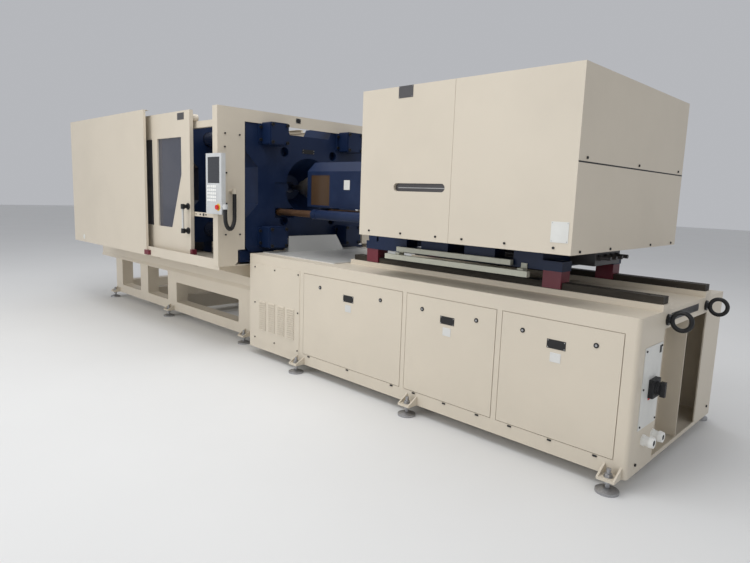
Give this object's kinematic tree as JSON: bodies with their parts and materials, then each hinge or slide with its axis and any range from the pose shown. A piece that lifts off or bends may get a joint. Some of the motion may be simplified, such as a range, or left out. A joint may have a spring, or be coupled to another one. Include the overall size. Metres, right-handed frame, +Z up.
{
  "type": "injection moulding machine",
  "caption": "Horizontal two-platen hydraulic injection moulding machine with sliding gates, a railed injection carriage under a sheet cover, and a cabinet base.",
  "frame": {"origin": "on the floor under the middle of the whole machine", "axes": "+X towards the injection end, -Y the operator's side, +Z up"},
  "size_m": [7.562, 2.104, 2.25],
  "materials": {
    "paint": "satin powder coat",
    "navy_paint": "satin enamel",
    "ground_steel": "ground",
    "stainless": "brushed sheet",
    "rail_steel": "oiled",
    "barrel_steel": "heater bands",
    "white_plastic": "smooth",
    "black_steel": "satin black",
    "dark_steel": "galvanised",
    "black_plastic": "fine grain",
    "smoked_glass": "smoked sheet",
    "crimson": "satin",
    "grey_green": "anodised",
    "panel_plastic": "fine grain",
    "red_plastic": "smooth"
  },
  "bodies": {
    "root": {"clamp_frame": "paint", "platen_ways": "ground_steel", "fixed_platen": "navy_paint", "piston_caps": "navy_paint", "tie_bars": "ground_steel", "traverse_cylinders": "navy_paint", "front_clamp_cover": "paint", "rear_clamp_cover": "paint", "clamp_end_guard": "paint", "portal_cover": "paint", "gate_tracks": "paint", "purge_tray": "stainless", "guard_rail": "ground_steel", "traction_rods": "ground_steel", "base_front_wall": "paint", "base_rear_wall": "paint", "base_end_wall": "paint", "base_deck": "paint", "base_inner": "paint", "louvre_panel": "paint", "carriage_rails": "rail_steel", "main_switch_body": "white_plastic", "cable_glands": "white_plastic", "lifting_eyes": "black_steel", "foot_brackets": "paint", "levelling_feet": "dark_steel", "panel_conduit": "black_plastic"},
    "moving_platen": {"moving_platen": "navy_paint", "lock_housings": "navy_paint", "traverse_rods": "ground_steel"},
    "ejector": {"ejector_plate": "ground_steel"},
    "front_gate": {"front_gate": "paint", "gate_panes": "smoked_glass", "gate_handle": "black_plastic", "gate_shoe": "crimson"},
    "rear_gate": {"rear_gate": "paint"},
    "carriage": {"carriage_frame": "navy_paint", "rail_shoes": "crimson", "transducer_bars": "grey_green", "traction_cylinders": "navy_paint", "cover_front_shell": "paint", "cover_rear_shell": "paint", "cover_end_panels": "paint", "barrel": "barrel_steel", "injection_rods": "ground_steel"},
    "injection_drive": {"injection_drive": "navy_paint"},
    "screw": {"screw": "ground_steel"},
    "nozzle_guard": {"nozzle_guard": "navy_paint"},
    "door_left": {"door_left": "paint"},
    "door_middle": {"door_middle": "paint"},
    "door_right": {"door_right": "paint"},
    "main_switch": {"main_switch_handle": "black_plastic"},
    "operator_panel": {"operator_panel": "panel_plastic"},
    "stop_button": {"stop_button": "red_plastic"},
    "lock_1": {"lock_1": "black_steel"},
    "lock_2": {"lock_2": "black_steel"},
    "lock_3": {"lock_3": "black_steel"},
    "lock_4": {"lock_4": "black_steel"},
    "lock_5": {"lock_5": "black_steel"},
    "lock_6": {"lock_6": "black_steel"}
  },
  "joints": [
    {"name": "platen_slide", "type": "slide", "parent": "root", "child": "moving_platen", "axis": [1, 0, 0], "range_m": [-0.75, 0.25]},
    {"name": "ejector_slide", "type": "slide", "parent": "moving_platen", "child": "ejector", "axis": [1, 0, 0], "range_m": [0, 0.14]},
    {"name": "front_gate_slide", "type": "slide", "parent": "root", "child": "front_gate", "axis": [1, 0, 0], "range_m": [-0.73, 0.48]},
    {"name": "rear_gate_slide", "type": "slide", "parent": "root", "child": "rear_gate", "axis": [1, 0, 0], "range_m": [-0.73, 0.48]},
    {"name": "carriage_slide", "type": "slide", "parent": "root", "child": "carriage", "axis": [1, 0, 0], "range_m": [-0.165, 0.3]},
    {"name": "injection_slide", "type": "slide", "parent": "carriage", "child": "injection_drive", "axis": [1, 0, 0], "range_m": [0, 0.32]},
    {"name": "screw_turn", "type": "hinge", "parent": "injection_drive", "child": "screw", "pos_m": [2.269, 0.032, 1.525], "axis": [1, 0, 0], "continuous": true},
    {"name": "guard_hinge", "type": "hinge", "parent": "root", "child": "nozzle_guard", "pos_m": [0.819, 0.278, 1.365], "axis": [-1, 0, 0], "range_deg": [0, 45]},
    {"name": "main_switch_turn", "type": "hinge", "parent": "root", "child": "main_switch", "pos_m": [3.687, -0.463, 0.525], "axis": [1, 0, 0], "range_deg": [0, 90]},
    {"name": "panel_swivel", "type": "hinge", "parent": "root", "child": "operator_panel", "pos_m": [0.119, -0.983, 1.47], "axis": [0, 0, 1], "range_deg": [-15, 15]},
    {"name": "stop_press", "type": "slide", "parent": "operator_panel", "child": "stop_button", "axis": [0, 1, 0], "range_m": [0, 0.006]},
    {"name": "door_left_tilt", "type": "hinge", "parent": "root", "child": "door_left", "pos_m": [1.536, -0.68, 0.161], "axis": [1, 0, 0], "range_deg": [0, 25]},
    {"name": "lock_1_turn", "type": "hinge", "parent": "door_left", "child": "lock_1", "pos_m": [1.205, -0.688, 0.741], "axis": [0, -1, 0], "range_deg": [0, 90]},
    {"name": "lock_2_turn", "type": "hinge", "parent": "door_left", "child": "lock_2", "pos_m": [1.867, -0.688, 0.741], "axis": [0, 1, 0], "range_deg": [0, 90]},
    {"name": "door_middle_tilt", "type": "hinge", "parent": "root", "child": "door_middle", "pos_m": [2.468, -0.68, 0.161], "axis": [1, 0, 0], "range_deg": [0, 25]},
    {"name": "lock_3_turn", "type": "hinge", "parent": "door_middle", "child": "lock_3", "pos_m": [2.253, -0.688, 0.741], "axis": [0, -1, 0], "range_deg": [0, 90]},
    {"name": "lock_4_turn", "type": "hinge", "parent": "door_middle", "child": "lock_4", "pos_m": [2.683, -0.688, 0.741], "axis": [0, 1, 0], "range_deg": [0, 90]},
    {"name": "door_right_tilt", "type": "hinge", "parent": "root", "child": "door_right", "pos_m": [3.218, -0.68, 0.161], "axis": [1, 0, 0], "range_deg": [0, 25]},
    {"name": "lock_5_turn", "type": "hinge", "parent": "door_right", "child": "lock_5", "pos_m": [3.002, -0.688, 0.741], "axis": [0, -1, 0], "range_deg": [0, 90]},
    {"name": "lock_6_turn", "type": "hinge", "parent": "door_right", "child": "lock_6", "pos_m": [3.434, -0.688, 0.741], "axis": [0, 1, 0], "range_deg": [0, 90]}
  ]
}
